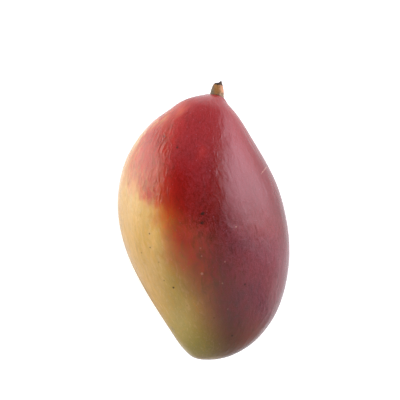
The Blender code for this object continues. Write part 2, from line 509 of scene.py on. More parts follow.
    # The lower cheek: red from the right edge, ragged, then yellow and green.
    turn = np.degrees(np.mod(around, 2 * math.pi))
    round_right = np.where(upper, 0.0, 360 - turn)
    ragged = 16 * slow(31, 17.0) + 7 * slow(32, 7.0)
    low = span(-5, -45, y)
    under = 0.98 * (1 - span(36, 112, round_right + ragged + 14 * low))
    under = under + 0.14 * span(0.05, 0.7, slow(33, 13.0))
    under_green = np.clip(
        0.24 + 0.62 * low + 0.30 * slow(34, 15.0) + 0.14 * slow(35, 6.0), 0, 1
    )
    under_shade = 0.90 - 0.30 * (1 - span(30, 110, round_right)) + 0.10 * slow(36, 11.0)
    under_bloom = 0.014 + 0.006 * slow(37, 12.0)
    below = span(6, 58, round_right) * span(4, 46, 180 - round_right)
    below = np.where(upper, 0.0, below)

    def joined(top, bottom):
        return top * (1 - below) + bottom * below

    pigment = joined(over, under)
    to_tip = np.sqrt((x - TIP_POLE[1]) ** 2 + (y - TIP_POLE[0]) ** 2 + (z - tip_z) ** 2)
    meet = span(14, 2, to_tip + 2.0 * slow(39, 6.0))
    pigment = pigment * (1 - meet) + 0.10 * meet
    collar = 0.74 * (1 - span(14, 50, from_stem + 5 * slow(38, 9.0)))
    pigment = np.maximum(pigment, collar)
    return {
        "pigment": pigment,
        "green": np.clip(joined(green, under_green), 0, 1) * (1 - meet) + 0.85 * meet,
        "shade": joined(shade, under_shade) * (1 - meet) + 0.74 * meet,
        "bloom_and_sheen": joined(bloom_and_sheen, under_bloom),
        "amber": joined(amber, 0.0),
    }


def px_v(px):
    return on_skin(px, 220)[0]


def py_v(py):
    return on_skin(205, py)[1]


def add_field(mesh, name, values):
    layer = mesh.attributes.new(name, "FLOAT", "POINT")
    layer.data.foreach_set("value", np.asarray(values, np.float32))


skin_mesh, skin_verts, skin_polar, skin_around = make_skin()
lay_out(skin_mesh, RINGS - 1)
flat_polar = np.append(skin_polar.ravel(), [0.0, math.pi])
flat_around = np.append(skin_around.ravel(), [0.0, 0.0])
for field, values in skin_fields(skin_verts, flat_polar, flat_around).items():
    add_field(skin_mesh, field, values)
# Coordinates that run with the growth of the fruit: round it, and along it.
grow = np.stack(
    [
        np.cos(flat_around) * 36.0,
        np.sin(flat_around) * 36.0,
        flat_polar * 46.0,
    ],
    -1,
)
layer = skin_mesh.attributes.new("grow", "FLOAT_VECTOR", "POINT")
layer.data.foreach_set("vector", grow.astype(np.float32).ravel())
fruit = bpy.data.objects.new("fruit_skin", skin_mesh)
bpy.context.scene.collection.objects.link(fruit)


# ==================================================================== stem stub
def make_stub():
    """The dried stub, ring by ring, in mm: foot, ribbed body, broken dark cap."""
    rows = (
        # along  across  radius
        (62.2, 6.70, 3.55),
        (62.93, 6.75, 3.74),
        (63.5, 6.82, 3.72),
        (64.10, 6.92, 3.58),
        (65.40, 7.05, 3.38),
        (66.90, 7.15, 3.10),
        (68.00, 7.24, 2.70),
        (68.70, 7.32, 2.42),
        (69.20, 7.42, 2.16),
        (69.60, 7.52, 1.82),
        (69.90, 7.62, 1.40),
        (70.02, 7.72, 0.90),
        (70.00, 7.80, 0.30),
    )
    steps, around = 120, 144
    t = np.linspace(0, len(rows) - 1, steps)
    i = np.arange(len(rows))
    rows = np.array(rows)
    along, across, radius = (np.interp(t, i, rows[:, c]) for c in range(3))
    # Round off the polyline.
    for _ in range(6):
        for c in (along, across, radius):
            c[1:-1] = (c[:-2] + 2 * c[1:-1] + c[2:]) / 4
    turn = np.linspace(0, 2 * math.pi, around, endpoint=False)
    share = np.clip((70.2 - along) / (70.2 - FOOT[1]), 0, 1)
    lean = math.tan(FOOT_TILT)
    ridge, knot, rim, crack = Grain(21), Grain(22), Grain(23), Grain(24)
    c, s = np.cos(turn), np.sin(turn)
    ring = np.stack([c, s], -1)
    p = np.zeros((steps, around, 3))
    cap = np.zeros((steps, around))
    for k in range(steps):
        level = np.full((around, 1), along[k])
        # Ribs run lengthwise and wander; the cap's edge is ragged.
        rib = ridge(np.concatenate([ring * 2.6, level / 7.0], -1))
        fine = ridge(np.concatenate([ring * 6.5, level / 3.5], -1) + 9)
        lumps = knot(np.concatenate([ring * 1.7, level / 1.6], -1))
        edge = 68.75 + 0.55 * rim(np.concatenate([ring * 1.9, 0 * level], -1)) - 0.35 * c
        over = smooth_step(edge - 0.16, edge + 0.10, along[k])
        thin = min(1.0, radius[k] / 2.2)
        low = float(1 - smooth_step(62.9, 64.2, along[k]))
        wave = (rib * 0.17 - np.abs(fine) * 0.13 + lumps * 0.09) * thin * (1 - 0.5 * low)
        wave = wave * (1 - 0.55 * over) + over * thin * (0.10 + 0.13 * crack(
            np.concatenate([ring * 4.2, level / 0.9], -1)
        ))
        # A groove parts the collar at the foot from the body.
        wave = wave - 0.13 * np.exp(-(((along[k] - 64.35 - 0.25 * s) / 0.22) ** 2))
        r = radius[k] + wave
        dx = r * c * (math.cos(FOOT_TILT) * share[k] + 1 - share[k])
        p[k, :, 0] = across[k] + dx
        p[k, :, 1] = along[k] - lean * share[k] * dx
        p[k, :, 2] = FOOT[2] + r * s * 0.94
        # The broken top: a flake rises at the right, the middle is hollow.
        flake = np.exp(-((np.angle(np.exp(1j * (turn - 0.15))) / 0.50) ** 2))
        up = smooth_step(69.15, 69.95, along[k]) * flake * 1.15
        jag = rim(np.concatenate([ring * 3.2, level / 2.0], -1) + 3)
        p[k, :, 1] += up + jag * 0.22 * smooth_step(68.9, 69.8, along[k])
        p[k, :, 1] -= 0.45 * (1 - smooth_step(0.5, 1.5, radius[k])) * float(along[k] > 69)
        cap[k] = over
    ids = np.arange(steps * around).reshape(steps, around)
    nxt = np.roll(ids, -1, axis=1)
    quads = np.stack([ids[:-1], nxt[:-1], nxt[1:], ids[1:]], -1).reshape(-1, 4)
    verts = p.reshape(-1, 3)
    faces = [tuple(map(int, q)) for q in quads]
    low, high = len(verts), len(verts) + 1
    verts = np.concatenate([verts, p[0].mean(0)[None], p[-1].mean(0)[None]])
    faces += [(low, int(ids[0, i]), int(nxt[0, i])) for i in range(around)]
    faces += [(high, int(nxt[-1, i]), int(ids[-1, i])) for i in range(around)]
    mesh = bpy.data.meshes.new("stub")
    mesh.from_pydata((verts * MM).tolist(), [], faces)
    mesh.update()
    sample = mesh.polygons[steps * around // 2]
    if sample.normal.dot(sample.center - Vector((0.0071, 0.0660, FOOT[2] * MM))) < 0:
        mesh.flip_normals()
    mesh.polygons.foreach_set("use_smooth", np.ones(len(mesh.polygons), bool))
    add_field(mesh, "cap", np.append(cap.ravel(), [0.0, 1.0]))
    fibre = np.stack([
        np.tile(c * 3.2, steps), np.tile(s * 3.2, steps), np.repeat(along, around)
    ], -1)
    fibre = np.concatenate([fibre, [[0, 0, along[0]], [0, 0, along[-1]]]])
    layer = mesh.attributes.new("fibre", "FLOAT_VECTOR", "POINT")
    layer.data.foreach_set("vector", fibre.astype(np.float32).ravel())
    return mesh


stub = bpy.data.objects.new("stem_dry", make_stub())
bpy.context.scene.collection.objects.link(stub)


# ==================================================================== materials
def srgb(r, g, b):
    """A colour from ordinary 0 to 255 numbers, as linear light."""
    out = []
    for v in (r, g, b):
        v /= 255.0
        out.append(v / 12.92 if v <= 0.04045 else ((v + 0.055) / 1.055) ** 2.4)
    return (*out, 1.0)


class Net:
    """Short calls for building a node tree."""

    def __init__(self, tree):
        self.tree = tree

    def put(self, socket, value):
        if isinstance(value, bpy.types.NodeSocket):
            self.tree.links.new(value, socket)
        else:
            socket.default_value = value

    def math(self, op, a, b=0.0, c=0.0, clamp=False):
        node = self.tree.nodes.new("ShaderNodeMath")
        node.operation = op
        node.use_clamp = clamp
        for i, v in enumerate((a, b, c)):
            self.put(node.inputs[i], v)
        return node.outputs[0]

    def add(self, *terms):
        out = terms[0]
        for v in terms[1:]:
            out = self.math("ADD", out, v)
        return out

    def mul(self, *terms):
        out = terms[0]
        for v in terms[1:]:
            out = self.math("MULTIPLY", out, v)
        return out

    def ramp(self, value, lo, hi, to_lo=0.0, to_hi=1.0, soft=True):
        """to_lo at lo, to_hi at hi, and level beyond them; lo may be the greater."""
        node = self.tree.nodes.new("ShaderNodeMapRange")
        node.interpolation_type = "SMOOTHSTEP" if soft else "LINEAR"
        if lo > hi:
            lo, hi, to_lo, to_hi = hi, lo, to_hi, to_lo
        self.put(node.inputs["Value"], value)
        node.inputs["From Min"].default_value = lo
        node.inputs["From Max"].default_value = hi
        node.inputs["To Min"].default_value = to_lo
        node.inputs["To Max"].default_value = to_hi
        return node.outputs["Result"]

    def mix(self, factor, a, b, blend="MIX"):
        node = self.tree.nodes.new("ShaderNodeMix")
        node.data_type = "RGBA"
        node.blend_type = blend
        self.put(node.inputs[0], factor)
        self.put(node.inputs[6], a)
        self.put(node.inputs[7], b)
        return node.outputs[2]

    def vector(self, op, a, b=(0.0, 0.0, 0.0), scale=None):
        node = self.tree.nodes.new("ShaderNodeVectorMath")
        node.operation = op
        self.put(node.inputs[0], a)
        if scale is None:
            self.put(node.inputs[1], b)
        else:
            self.put(node.inputs["Scale"], scale)
        return node.outputs["Value" if op in ("DISTANCE", "LENGTH", "DOT_PRODUCT") else "Vector"]

    def noise(self, vector, size, detail=2.0, rough=0.5, stretch=(1, 1, 1), offset=0.0):
        """Noise centred on 0, about -0.5 to 0.5; size is its wavelength in mm."""
        scale = tuple(1.0 / (size * v) for v in stretch)
        moved = self.vector("MULTIPLY", vector, scale)
        if offset:
            moved = self.vector("ADD", moved, (offset, offset * 1.7, -offset))
        node = self.tree.nodes.new("ShaderNodeTexNoise")
        node.noise_dimensions = "3D"
        self.put(node.inputs["Vector"], moved)
        node.inputs["Scale"].default_value = 1.0
        node.inputs["Detail"].default_value = detail
        node.inputs["Roughness"].default_value = rough
        return self.math("SUBTRACT", node.outputs[0], 0.5)

    def warp(self, vector, size, amount, offset=0.0):
        """The vector, pushed about by noise of this size, by amount in mm."""
        moved = self.vector("MULTIPLY", vector, (1.0 / size,) * 3)
        if offset:
            moved = self.vector("ADD", moved, (offset, -offset, offset * 1.3))
        node = self.tree.nodes.new("ShaderNodeTexNoise")
        node.noise_dimensions = "3D"
        self.put(node.inputs["Vector"], moved)
        node.inputs["Scale"].default_value = 1.0
        node.inputs["Detail"].default_value = 1.0
        push = self.vector("SUBTRACT", node.outputs["Color"], (0.5, 0.5, 0.5))
        return self.vector("ADD", vector, self.vector("SCALE", push, scale=amount * 2))

    def spot(self, place, centre, radius, soft=0.6):
        """1 within radius mm of a point, falling to 0 at its edge."""
        away = self.vector("DISTANCE", place, centre)
        return self.ramp(away, radius * (1 + soft), radius * (1 - soft))

    def field(self, name, vector=False):
        node = self.tree.nodes.new("ShaderNodeAttribute")
        node.attribute_type = "GEOMETRY"
        node.attribute_name = name
        return node.outputs["Vector" if vector else "Fac"]

    def combine(self, r, g, b):
        node = self.tree.nodes.new("ShaderNodeCombineColor")
        for i, v in enumerate((r, g, b)):
            self.put(node.inputs[i], v)
        return node.outputs[0]


def new_material(name):
    mat = bpy.data.materials.new(name)
    mat.use_nodes = True
    return mat, Net(mat.node_tree), mat.node_tree.nodes["Principled BSDF"]


def plain(name, colour, roughness):
    mat, _, b = new_material(name)
    b.inputs["Base Color"].default_value = colour
    b.inputs["Roughness"].default_value = roughness
    return mat


# -------------------------------------------------------------------- the skin
YELLOW = (0.72, 0.43, 0.106, 1.0)
TAN = (0.63, 0.340, 0.048, 1.0)
CREAM = (0.76, 0.47, 0.175, 1.0)
AMBER = (0.72, 0.40, 0.034, 1.0)
OLIVE = (0.34, 0.275, 0.045, 1.0)
PIGMENT = (0.70, 3.60, 3.30)         # how strongly the red pigment takes each colour away


# Small marks on the peel, each by its place in the photograph: pixels across
# and down, radius in mm, and strength.
DARK_SPECKS = (
    (202.9, 213.4, 0.80, 0.80),
    (201.6, 214.2, 0.60, 0.50),
    (202.3, 222.7, 0.76, 0.72),
    (200.8, 223.6, 0.55, 0.40),
    (177.3, 147.5, 0.50, 0.80),
    (164.7, 136.4, 0.50, 0.60),
    (163.2, 140.2, 0.40, 0.45),
    (149.5, 233.5, 0.38, 0.72),
    (150.2, 247.5, 0.38, 0.72),
    (141.4, 252.8, 0.36, 0.45),
    (136.5, 267.7, 0.42, 0.55),
    (164.0, 281.0, 0.40, 0.50),
    (173.4, 287.7, 0.55, 0.85),
    (158.5, 262.0, 0.32, 0.40),
    (187.0, 305.5, 0.32, 0.40),
    (244.9, 284.4, 0.55, 0.70),
    (232.1, 335.8, 0.55, 0.75),
    (214.0, 318.0, 0.36, 0.45),
    (221.0, 160.0, 0.36, 0.45),
)
PALE_MARKS = (
    (201.9, 273.6, 0.62, 0.50),
    (200.7, 248.3, 0.38, 0.30),
    (201.7, 256.2, 0.38, 0.30),
    (222.5, 283.4, 0.42, 0.30),
    (224.8, 262.0, 0.40, 0.28),
    (236.3, 226.7, 0.44, 0.60),
    (228.0, 309.0, 0.34, 0.25),
)
SCRATCH = ((261.2, 173.9), (264.0, 170.3), (266.8, 166.3))
SCUFF = (172.6, 329.0)


def peel_pixels():
    """The upper skin's points, and where the camera sees them."""
    up = skin_verts[np.sin(flat_around) > -0.02]
    scale = FOCAL_PIXELS / (CAMERA_HEIGHT - up[:, 2])
    return up, 200 + (up[:, 0] - CAMERA_AT[0]) * scale, 200 - (up[:, 1] - CAMERA_AT[1]) * scale


PEEL, PEEL_PX, PEEL_PY = peel_pixels()


def on_peel(px, py):
    """As on_skin, but exactly on the peel with its relief."""
    away = np.hypot(PEEL_PX - px, PEEL_PY - py)
    near = np.argsort(away, kind="stable")[:3]
    share = 1 / (away[near] + 0.05)
    return tuple(float(v) for v in (PEEL[near] * share[:, None]).sum(0) / share.sum())


def skin_material():
    mat, net, shader = new_material("mango_skin")
    where = net.tree.nodes.new("ShaderNodeTexCoord").outputs["Object"]
    mm = net.vector("SCALE", where, scale=1000.0)
    grow_v = net.field("grow", vector=True)
    pigment = net.field("pigment")
    green = net.field("green")
    shade = net.field("shade")
    bloom_and_sheen = net.field("bloom_and_sheen")
    amber = net.field("amber")

    # The lines of growth wander from side to side.
    bent = net.warp(net.warp(grow_v, 6.0, 2.2), 1.8, 0.45, 4.0)

    # Unevenness, from broad blotches down to the grain of the peel; the
    # middle sizes run lengthwise.
    blotch = net.noise(mm, 8.0, 2.0, 0.6)
    cloud = net.noise(bent, 3.2, 2.0, 0.6, (1, 1, 1.5), 21.0)
    streak = net.noise(bent, 1.9, 3.0, 0.6, (1, 1, 2.6))
    strand = net.noise(bent, 1.15, 1.5, 0.5, (1, 1, 3.6), 15.0)
    mottle = net.noise(bent, 1.5, 2.5, 0.6, (1, 1, 1.35), 41.0)
    fleck = net.noise(bent, 0.85, 2.0, 0.6, (1, 1, 1.5), 5.0)
    grain = net.noise(mm, 0.40, 1.0, 0.6, (1, 1, 1), 9.0)

    # Most of it is where the blush is neither full nor absent.
    between = net.mul(
        net.ramp(pigment, 0.04, 0.50, 0.12, 1.0), net.ramp(pigment, 1.05, 0.35, 0.60, 1.0)
    )
    ragged = net.add(
        net.mul(streak, 0.36),
        net.mul(strand, 0.14),
        net.mul(cloud, 0.34),
        net.mul(blotch, 0.22),
        net.mul(mottle, 0.34),
        net.mul(fleck, 0.42),
        net.mul(grain, 0.34),
    )
    full = net.ramp(pigment, 0.3, 1.0)
    # Streaked on the left shoulder, and mottled elsewhere.
    across = net.tree.nodes.new("ShaderNodeSeparateXYZ")
    net.put(across.inputs[0], mm)
    to_left = net.ramp(across.outputs["X"], -4.0, -20.0)
    shoulder = net.mul(to_left, net.ramp(across.outputs["Y"], 2.0, 14.0))
    ragged = net.add(ragged, net.mul(strand, shoulder, 0.42))
    # The middle and the left are livelier than the right.
    bare = net.ramp(pigment, 0.40, 0.02)
    lively = net.mul(
        net.ramp(across.outputs["X"], 8.0, -2.0, 0.46, 1.35),
        net.ramp(across.outputs["Y"], 8.0, -4.0, 1.0, 1.50),
        net.math("SUBTRACT", 1.0, net.mul(bare, 0.55)),
    )
    m = net.math("MAXIMUM", net.add(pigment, net.mul(ragged, between)), 0.0)

    # Lenticels: pale pinprick spots a couple of millimetres apart.
    cells = net.tree.nodes.new("ShaderNodeTexVoronoi")
    cells.feature = "F1"
    net.put(cells.inputs["Vector"], net.vector("MULTIPLY", mm, (0.62, 0.62, 0.62)))
    cells.inputs["Scale"].default_value = 1.0
    pick = net.tree.nodes.new("ShaderNodeSeparateColor")
    net.put(pick.inputs[0], cells.outputs["Color"])
    dot = net.mul(
        net.ramp(cells.outputs["Distance"], 0.20, 0.07),
        net.ramp(pick.outputs[0], 0.35, 0.95),
    )

    uneven = net.add(
        net.mul(blotch, 0.26), net.mul(cloud, 0.32), net.mul(streak, 0.26), net.mul(mottle, 0.26)
    )
    uneven = net.mul(uneven, net.ramp(green, 0.0, 0.25, 0.30, 1.35))
    ground = net.mix(net.math("ADD", green, uneven, clamp=True), YELLOW, OLIVE)
    ground = net.mix(net.math("ADD", amber, net.mul(cloud, amber), clamp=True), ground, AMBER)
    # Cream and tan patches and lengthwise streaks, on the yellow only.
    stain = net.add(
        net.mul(net.noise(bent, 2.8, 2.5, 0.6, (1, 1, 2.8), 27.0), 0.55),
        net.mul(net.noise(mm, 1.5, 2.0, 0.6, (1, 5.0, 1), 51.0), 0.60),
        net.mul(mottle, 0.80),
    )
    spread = net.mul(bare, net.ramp(green, 0.1, 0.9, 1.0, 0.45))
    ground = net.mix(net.mul(net.ramp(stain, 0.0, -0.24, 0.0, 0.62), spread), ground, CREAM)
    ground = net.mix(net.mul(net.ramp(stain, -0.02, 0.24, 0.0, 0.66), spread), ground, TAN)
    # One node per channel: light left after the pigment.
    left = [net.math("POWER", math.exp(-k), m) for k in PIGMENT]
    skin = net.mix(1.0, ground, net.combine(*left), "MULTIPLY")
    dim = net.add(
        shade,
        net.mul(
            net.add(
                net.mul(blotch, 0.12),
                net.mul(cloud, net.add(0.40, net.mul(shoulder, 0.22))),
                net.mul(streak, net.add(0.30, net.mul(shoulder, 0.32))),
                net.mul(strand, 0.14),
                net.mul(mottle, 0.24),
                net.mul(fleck, net.add(0.12, net.mul(full, 0.36))),
            ),
            lively,
        ),
        net.mul(grain, net.add(0.14, net.mul(full, 0.42))),
    )
    skin = net.mix(1.0, skin, net.combine(dim, dim, dim), "MULTIPLY")
    # Pale bloom, partly a painted sheen, and the pale lenticel dots, added as a veil over the colour.
    veil = net.math(
        "MAXIMUM",
        net.add(
            bloom_and_sheen,
            net.mul(dot, net.add(0.030, net.mul(full, 0.022))),
            net.mul(
                net.add(
                    net.mul(mottle, net.add(0.004, net.mul(full, 0.010))),
                    net.mul(fleck, net.add(0.016, net.mul(full, 0.018))),
                    net.mul(grain, net.add(0.016, net.mul(full, 0.012))),
                ),
                net.ramp(across.outputs["Y"], 8.0, -4.0, 0.9, 1.55),
            ),
        ),
        0.0,
    )
    haze = net.combine(net.mul(veil, 1.00), net.mul(veil, 0.95), net.mul(veil, 1.40))
    skin = net.mix(1.0, skin, haze, "ADD")

    # The marks, ragged by a little warping.
    rough_mm = net.warp(mm, 0.5, 0.22, 2.0)
    dark = [
        net.mul(net.spot(rough_mm, on_peel(px, py), radius, 0.5), strength)
        for px, py, radius, strength in DARK_SPECKS
    ]
    pale = [
        net.mul(net.spot(rough_mm, on_peel(px, py), radius, 0.5), strength)
        for px, py, radius, strength in PALE_MARKS
    ]
    dark, pale = net.add(*dark), net.add(*pale)
    ends = [Vector(on_peel(*end)) for end in SCRATCH]
    pieces = []
    for one, two in zip(ends, ends[1:]):
        along = (two - one).normalized()
        off = net.vector("SUBTRACT", mm, tuple(one))
        reach = net.vector("DOT_PRODUCT", off, tuple(along))
        reach = net.math("MINIMUM", net.math("MAXIMUM", reach, 0.0), (two - one).length)
        foot = net.vector("ADD", tuple(one), net.vector("SCALE", tuple(along), scale=reach))
        pieces.append(net.ramp(net.vector("DISTANCE", mm, foot), 0.34, 0.12))
    scratch = net.math("MAXIMUM", *pieces)
    scuff = net.spot(net.warp(mm, 1.2, 0.8, 6.0), on_peel(*SCUFF), 1.5, 0.5)
    skin = net.mix(dark, skin, srgb(56, 32, 25))
    broken = net.mul(scratch, net.ramp(fleck, -0.12, 0.06, 0.20, 0.85))
    skin = net.mix(net.math("MAXIMUM", pale, broken), skin, srgb(196, 140, 122))
    skin = net.mix(net.mul(scuff, 0.55), skin, srgb(118, 104, 82))
    # The small round scar at the tip.
    scar = net.spot(net.warp(mm, 0.9, 0.5, 8.0), tuple(float(v) for v in skin_verts[-1]), 1.5, 0.6)
    skin = net.mix(net.mul(scar, 0.80), skin, srgb(92, 74, 46))
    # The peel is dark round the foot of the stem: partly dark, corky peel, partly painted shade in the
    # hollow there.
    seat = net.vector("DISTANCE", net.warp(mm, 1.0, 0.5, 3.0), tuple(FOOT))
    skin = net.mix(net.ramp(seat, 6.1, 4.7, 0.0, 0.80), skin, srgb(70, 36, 32))

    net.put(shader.inputs["Base Color"], skin)
    # Glossier on the yellow side, waxier with bloom on the red one.
    rough = net.add(
        0.235,
        net.mul(to_left, -0.055),
        net.mul(blotch, 0.06),
        net.mul(fleck, 0.12),
        net.mul(scuff, 0.25),
    )
    net.put(shader.inputs["Roughness"], rough)

    # Fine relief: irregular pebbles, and lengthwise creases that are deeper
    # on the left shoulder.
    pebble = net.noise(bent, 1.10, 1.0, 0.5, (1, 1, 1.5), 3.0)
    ripple = net.noise(bent, 1.80, 1.0, 0.5, (1, 1, 2.4), 7.0)
    wide = net.noise(bent, 4.2, 1.0, 0.5, (1, 1, 1.6), 11.0)
    patch = net.ramp(net.noise(bent, 8.0, 1.0, 0.5, (1, 1, 1.4), 13.0), -0.12, 0.12, 0.55, 1.15)
    calm = net.mul(
        net.ramp(across.outputs["X"], -22.0, -19.0),
        net.ramp(across.outputs["X"], -2.0, -8.0),
        net.ramp(across.outputs["Y"], 37.0, 29.0),
    )
    patch = net.mul(patch, net.math("SUBTRACT", 1.0, net.mul(calm, 0.55)))
    flame = net.noise(bent, 1.35, 1.0, 0.5, (1, 1, 3.0), 33.0)
    height = net.add(
        net.mul(
            net.add(
                net.mul(pebble, net.add(0.042, net.mul(to_left, 0.060))),
                net.mul(ripple, net.add(0.115, net.mul(to_left, 0.105))),
                net.mul(wide, net.add(0.330, net.mul(to_left, -0.230))),
                net.mul(flame, shoulder, 0.22),
            ),
            patch,
        ),
        net.mul(grain, net.add(0.005, net.mul(to_left, 0.006))),
        net.mul(dot, 0.006),
        net.mul(dark, -0.05),
        net.mul(pale, 0.03),
        net.mul(scratch, 0.03),
    )
    bump = net.tree.nodes.new("ShaderNodeBump")
    bump.inputs["Strength"].default_value = 1.0
    bump.inputs["Distance"].default_value = MM
    net.put(bump.inputs["Height"], height)
    net.put(shader.inputs["Normal"], bump.outputs[0])
    return mat


# -------------------------------------------------------------------- the stem
def stem_material():
    mat, net, shader = new_material("mango_stem")
    where = net.tree.nodes.new("ShaderNodeTexCoord").outputs["Object"]
    mm = net.vector("SCALE", where, scale=1000.0)
    fibre = net.field("fibre", vector=True)
    cap = net.field("cap")
    apart = net.tree.nodes.new("ShaderNodeSeparateXYZ")
    net.put(apart.inputs[0], mm)
    x, y = apart.outputs["X"], apart.outputs["Y"]
    strand = net.noise(fibre, 0.34, 2.0, 0.6, (1, 1, 6.0))
    blot = net.noise(fibre, 1.0, 2.0, 0.6, (1, 1, 1.5), 4.0)
    speck = net.noise(mm, 0.16, 1.5, 0.6, (1, 1, 1), 8.0)

    # Grey-tan on the left, ochre in the middle, a peach tone on the right.
    off = net.add(x, net.mul(blot, 1.6), net.mul(strand, 1.2))
    body = net.mix(net.ramp(off, 4.3, 6.3), srgb(112, 98, 78), srgb(150, 102, 48))
    body = net.mix(net.ramp(off, 7.4, 9.2), body, srgb(206, 150, 112))
    foot = net.mul(net.ramp(y, 65.6, 63.2), net.ramp(off, 6.8, 9.0))
    body = net.mix(net.mul(foot, 0.7), body, srgb(196, 168, 134))
    tone = net.add(1.0, net.mul(strand, 1.1), net.mul(blot, 0.7), net.mul(speck, 0.5))
    body = net.mix(1.0, body, net.combine(tone, tone, tone), "MULTIPLY")
    # Dark in the groove at the foot, darkest on the left: partly dark cork, partly painted shade in
    # the groove.
    cork_and_shade = net.mul(
        net.ramp(net.add(y, net.mul(blot, 0.8), net.mul(x, -0.14)), 63.7, 62.7),
        net.ramp(off, 9.6, 5.5, 0.35, 0.9),
    )
    body = net.mix(cork_and_shade, body, srgb(58, 44, 40))
    crown = net.mix(
        net.ramp(net.add(blot, net.mul(speck, 0.6)), -0.10, 0.16), srgb(34, 24, 18), srgb(82, 56, 38)
    )
    dark = net.ramp(net.add(cap, net.mul(blot, 0.5), net.mul(strand, 0.35)), 0.32, 0.72)
    colour = net.mix(dark, body, crown)
    net.put(shader.inputs["Base Color"], colour)
    net.put(shader.inputs["Roughness"], net.add(0.72, net.mul(strand, 0.25)))
    bump = net.tree.nodes.new("ShaderNodeBump")
    bump.inputs["Strength"].default_value = 1.0
    bump.inputs["Distance"].default_value = MM
    height = net.add(net.mul(strand, 0.16), net.mul(blot, 0.10), net.mul(speck, 0.05))
    net.put(bump.inputs["Height"], height)
    net.put(shader.inputs["Normal"], bump.outputs[0])
    return mat


fruit.data.materials.append(skin_material())
stub.data.materials.append(stem_material())

for piece, node, slot in ((fruit, "fruit", "skin"), (stub, "stem_stub", "dry_stem")):
    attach(piece, "root")
    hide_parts(node)

# ===================================================================== the stage
FLOOR_GLOW = 0.62            # the white floor is lit a little from below
OVERHEAD_POWER = 9.2
floor_mesh = bpy.data.meshes.new("floor")
side = 6.0
floor_mesh.from_pydata(
    [(-side, -side, 0), (side, -side, 0), (side, side, 0), (-side, side, 0)],
    [],
    [(0, 1, 2, 3)],
)
floor = bpy.data.objects.new("floor", floor_mesh)
bpy.context.scene.collection.objects.link(floor)
floor.data.materials.append(plain("floor_white", (0.90, 0.90, 0.90, 1), 0.9))
bsdf = floor.data.materials[0].node_tree.nodes["Principled BSDF"]
bsdf.inputs["Specular IOR Level"].default_value = 0.0
bsdf.inputs["Emission Color"].default_value = (1, 1, 1, 1)
bsdf.inputs["Emission Strength"].default_value = FLOOR_GLOW
floor.visible_glossy = False

cam = bpy.data.cameras.new("camera")
cam.lens = LENS
cam.sensor_width = SENSOR
cam.clip_start, cam.clip_end = 0.01, 50
camera = bpy.data.objects.new("camera", cam)
camera.location = (CAMERA_AT[0] * MM, CAMERA_AT[1] * MM, CAMERA_HEIGHT * MM)
bpy.context.scene.collection.objects.link(camera)
bpy.context.scene.camera = camera


def softbox(name, toward, distance, width, height, power):
    """A rectangular light that faces the fruit from the direction toward."""
    lamp = bpy.data.lights.new(name, "AREA")
    lamp.shape = "RECTANGLE"
    lamp.size, lamp.size_y = width, height
    lamp.energy = power
    obj = bpy.data.objects.new(name, lamp)
    d = Vector(toward).normalized()
    obj.location = Vector((0, 0, 0.038)) + d * distance
    obj.rotation_euler = d.to_track_quat("Z", "Y").to_euler()
    bpy.context.scene.collection.objects.link(obj)
    return obj


# A broad soft fill from above, too diffuse to mirror in the skin.
overhead = softbox("overhead", (0.0, 0.30, 1.0), 1.6, 2.2, 2.2, OVERHEAD_POWER)
overhead.visible_glossy = False

world = bpy.data.worlds.new("studio")
bpy.context.scene.world = world
world.use_nodes = True
tree = world.node_tree
tree.nodes.clear()


def wire(kind, **inputs):
    """A world node with its inputs set or linked."""
    node = tree.nodes.new(kind)
    for key, value in inputs.items():
        key = key.replace("_", " ") if isinstance(key, str) else key
        socket = node.inputs[int(key)] if key.isdigit() else node.inputs[key]
        if isinstance(value, bpy.types.NodeSocket):
            tree.links.new(value, socket)
        else:
            socket.default_value = value
    return node


def w_math(op, a, b=0.0):
    node = tree.nodes.new("ShaderNodeMath")
    node.operation = op
    for i, v in enumerate((a, b)):
        if isinstance(v, bpy.types.NodeSocket):
            tree.links.new(v, node.inputs[i])
        else:
            node.inputs[i].default_value = v
    return node.outputs[0]


def w_ramp(value, lo, hi, soft=True):
    """0 below lo, 1 above hi; lo may be the greater."""
    node = tree.nodes.new("ShaderNodeMapRange")
    node.interpolation_type = "SMOOTHSTEP" if soft else "LINEAR"
    tree.links.new(value, node.inputs["Value"])
    flip = lo > hi
    node.inputs["From Min"].default_value = min(lo, hi)
    node.inputs["From Max"].default_value = max(lo, hi)
    node.inputs["To Min"].default_value = 1.0 if flip else 0.0
    node.inputs["To Max"].default_value = 0.0 if flip else 1.0
    return node.outputs["Result"]


coords = tree.nodes.new("ShaderNodeTexCoord").outputs["Generated"]
apart = tree.nodes.new("ShaderNodeSeparateXYZ")
tree.links.new(coords, apart.inputs[0])
ZENITH = w_math("ARCCOSINE", apart.outputs["Z"])


def turn_from(middle):
    """Angle round from the direction middle (degrees from +X towards +Y), in radians."""
    spin = tree.nodes.new("ShaderNodeVectorRotate")
    spin.rotation_type = "Z_AXIS"
    spin.inputs["Angle"].default_value = -math.radians(middle)
    tree.links.new(coords, spin.inputs["Vector"])
    xyz = tree.nodes.new("ShaderNodeSeparateXYZ")
    tree.links.new(spin.outputs[0], xyz.inputs[0])
    return w_math("ARCTAN2", xyz.outputs["Y"], xyz.outputs["X"])


def product(*factors):
    out = factors[0]
    for f in factors[1:]:
        out = w_math("MULTIPLY", out, f)
    return out


# The studio, by zenith angle (0 overhead, 90 level) and by turn: a broad
# panel on the right, a narrower one on the left, and pale surroundings below
# the level, darker towards the tip of the fruit.
def panel(strength, middle, zenith_in, zenith_out, low_side, high_side, skew=0.0):
    turn = turn_from(middle)
    zenith = w_math("ADD", ZENITH, w_math("MULTIPLY", turn, -skew))
    r = math.radians
    return product(
        w_ramp(zenith, r(zenith_in[0]), r(zenith_in[1])),
        w_ramp(ZENITH, r(zenith_out[1]), r(zenith_out[0])),
        w_ramp(turn, r(low_side[0]), r(low_side[1])),
        w_ramp(turn, r(high_side[1]), r(high_side[0])),
        strength,
    )


right_panel = panel(3.86, 30, (16, 60), (84, 126), (-46, -6), (6, 29), 0.10)

